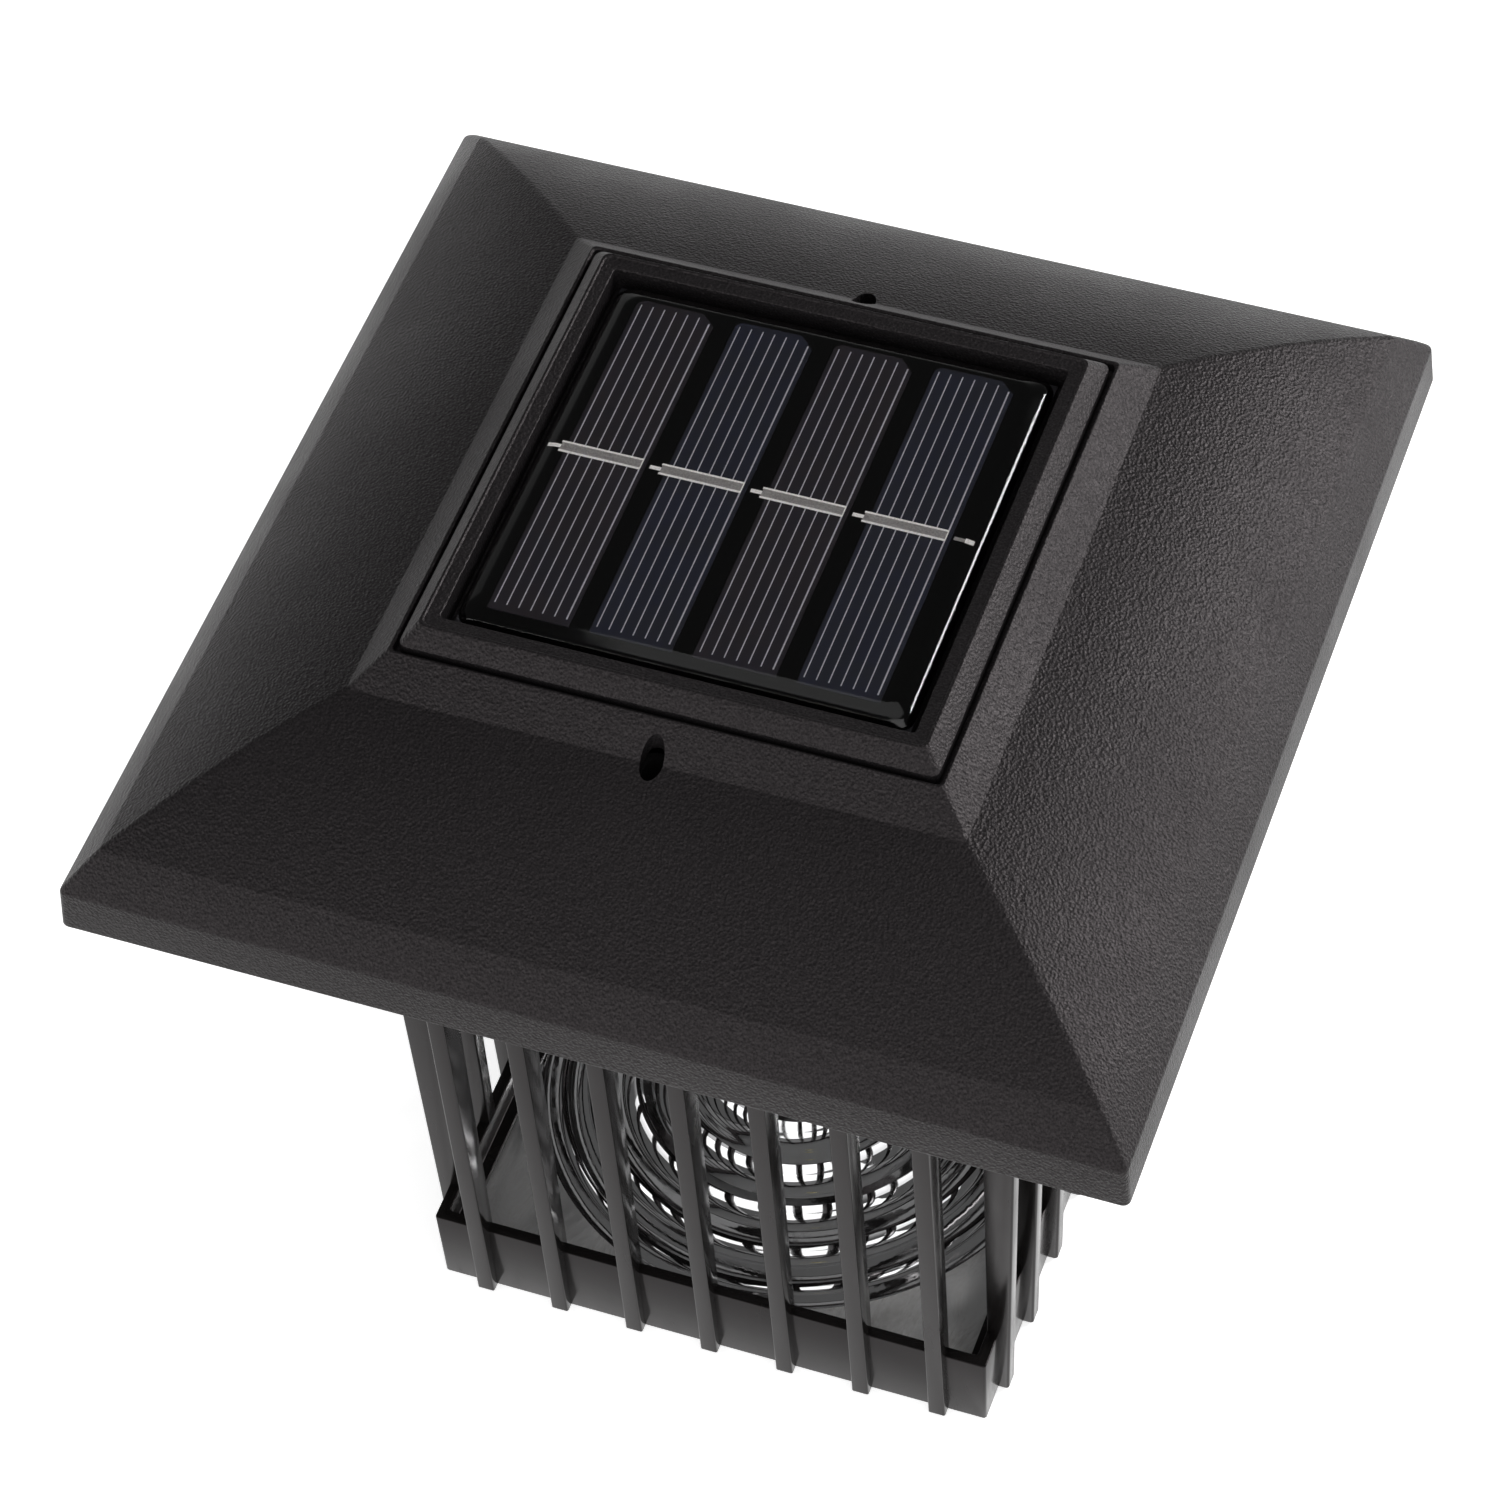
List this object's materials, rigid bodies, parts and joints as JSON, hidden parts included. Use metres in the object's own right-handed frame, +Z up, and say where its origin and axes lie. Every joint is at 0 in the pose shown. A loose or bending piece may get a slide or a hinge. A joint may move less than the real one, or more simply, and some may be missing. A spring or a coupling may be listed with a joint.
{
  "type": "solar fence light",
  "caption": "Solar post light with a square pyramid roof, solar panel, slatted cage, ringed reflector and a square skirt that drops over a fence post.",
  "frame": {"origin": "centre of the skirt's bottom edge, which is the centre of the bottom of the box round the light", "axes": "+Z up through the roof; the two roof screws lie at -Y (front) and +Y (back); the solar cells lie side by side along X"},
  "size_m": [0.16, 0.16, 0.1587],
  "materials": {
    "roof_plastic": "fine leather-like moulded texture, matt black",
    "cover_plastic": "smooth satin black moulding",
    "cage_plastic": "glossy black moulding",
    "chrome_plating": "bright metallised plastic",
    "cell": "dark blue-black silicon with fine silver fingers",
    "ribbon": "tinned copper ribbon",
    "resin": "clear cast resin",
    "board": "solder-masked glass-fibre board",
    "foam": "closed-cell foam tape",
    "steel": "nickel-plated steel",
    "battery_wrap": "printed shrink sleeve",
    "component": "moulded component package",
    "led_lens": "clear moulded lens over yellow phosphor",
    "knob_plastic": "grey moulding with ribs",
    "lead_red": "insulated wire",
    "lead_black": "insulated wire",
    "lead_white": "insulated wire"
  },
  "bodies": {
    "lamp": {"roof_cap": "roof_plastic", "panel_frame": "roof_plastic", "under_cover": "cover_plastic", "cage_band": "cage_plastic", "cage_slats": "cage_plastic", "cage_top_ring": "cage_plastic", "reflector": "chrome_plating", "solar_cells": "cell", "cell_ribbons": "ribbon", "panel_resin": "resin", "panel_board": "board", "circuit_board": "board", "panel_seal": "foam", "roof_screws": "steel", "cover_screws": "steel", "board_screws": "steel", "door_pin": "steel", "battery_spring": "steel", "battery_plate": "steel", "battery": "battery_wrap", "driver_chip": "component", "inductor": "component", "switch_body": "component", "led": "led_lens", "panel_lead_red": "lead_red", "battery_lead_red": "lead_red", "switch_lead_red": "lead_red", "panel_lead_black": "lead_black", "battery_lead_black": "lead_black", "switch_lead_white": "lead_white"},
    "door": {"battery_door": "cover_plastic"},
    "switch": {"switch_knob": "knob_plastic"}
  },
  "joints": [
    {"name": "battery_door_hinge", "type": "hinge", "parent": "lamp", "child": "door", "pos_m": [0, 0.034, 0.1274], "axis": [1, 0, 0], "range_deg": [0, 90]},
    {"name": "power_switch_slide", "type": "slide", "parent": "lamp", "child": "switch", "axis": [0, 1, 0], "range_m": [0, 0.004]}
  ]
}
